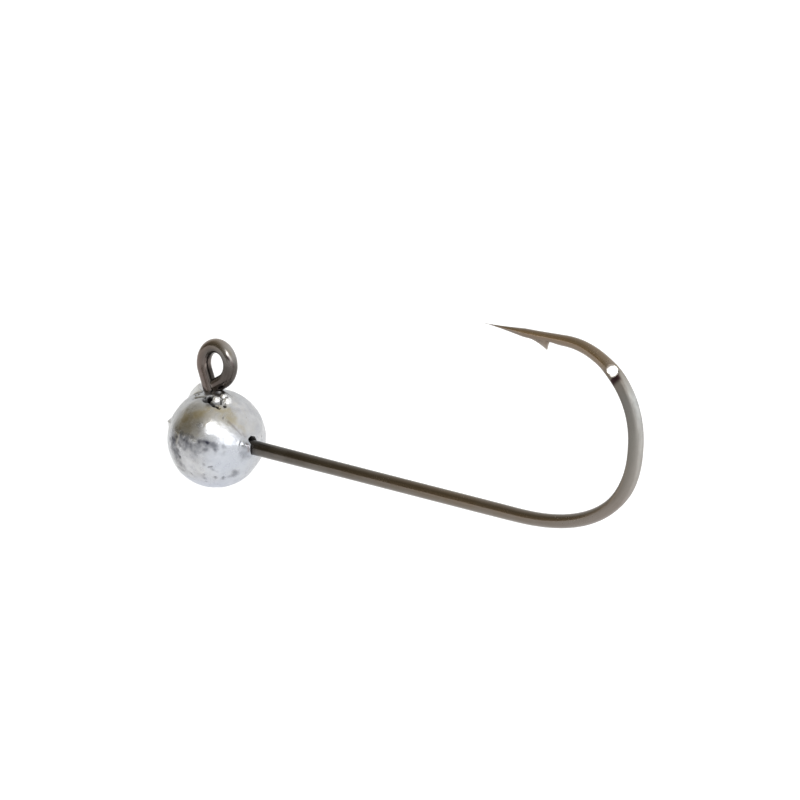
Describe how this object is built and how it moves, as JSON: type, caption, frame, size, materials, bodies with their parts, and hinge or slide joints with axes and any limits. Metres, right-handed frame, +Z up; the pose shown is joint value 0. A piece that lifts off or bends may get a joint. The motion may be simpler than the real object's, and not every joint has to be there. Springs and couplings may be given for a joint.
{
  "type": "jig head",
  "caption": "Ball jig head for soft fishing baits: a cast lead ball on a one-piece barbed steel hook with a bent-up line eye.",
  "frame": {"origin": "centre of the hole of the line eye, where the line is tied", "axes": "+X back along the straight shank towards the bend; +Z up, the way the eye and the point stand from the shank; the whole wire lies in the XZ plane, so Y is across the hook"},
  "size_m": [0.0512, 0.0082, 0.0199],
  "materials": {
    "cast_lead": null,
    "black_nickel_steel": "black nickel plate, smooth, with brown reflections and brighter forged flats in the bend"
  },
  "bodies": {
    "root": {"lead_head": "cast_lead", "jig_hook": "black_nickel_steel"}
  },
  "joints": []
}
